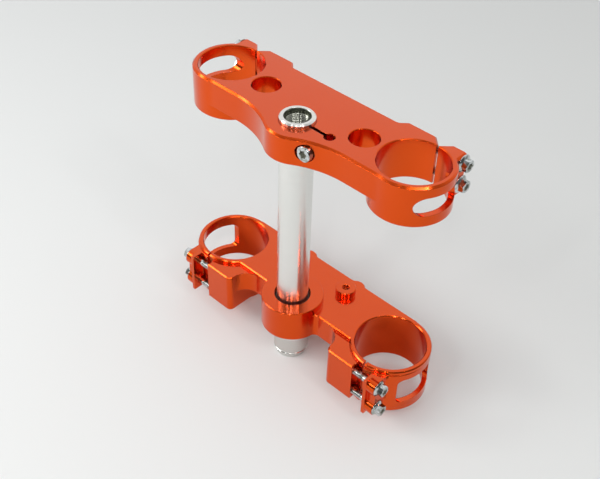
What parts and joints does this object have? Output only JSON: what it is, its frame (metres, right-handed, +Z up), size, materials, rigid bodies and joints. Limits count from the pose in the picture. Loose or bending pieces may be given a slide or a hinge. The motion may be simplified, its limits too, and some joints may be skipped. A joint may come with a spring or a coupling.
{
  "type": "motorcycle triple clamp",
  "caption": "Machined orange upper and lower fork clamps joined by a hollow steering stem, with split fork bores drawn tight by flanged pinch bolts.",
  "frame": {"origin": "centre of the stem's lower end, on the steering axis", "axes": "+X to the rider's right, +Y forwards to the fork tubes and wheel, +Z up the steering axis"},
  "size_m": [0.2554, 0.087, 0.2485],
  "materials": {
    "clamp_anodised": "milled, orange anodised, semi-gloss",
    "stem_steel": "turned and bright plated",
    "bolt_zinc": "zinc plated"
  },
  "bodies": {
    "root": {"upper_clamp": "clamp_anodised", "lower_clamp": "clamp_anodised", "stem": "stem_steel", "stem_pinch_screw": "bolt_zinc", "upper_pinch_bolt_left_high": "bolt_zinc", "upper_pinch_bolt_left_low": "bolt_zinc", "upper_pinch_bolt_right_high": "bolt_zinc", "upper_pinch_bolt_right_low": "bolt_zinc", "lower_pinch_bolt_left_high": "bolt_zinc", "lower_pinch_bolt_left_low": "bolt_zinc", "lower_pinch_bolt_right_high": "bolt_zinc", "lower_pinch_bolt_right_low": "bolt_zinc"}
  },
  "joints": []
}
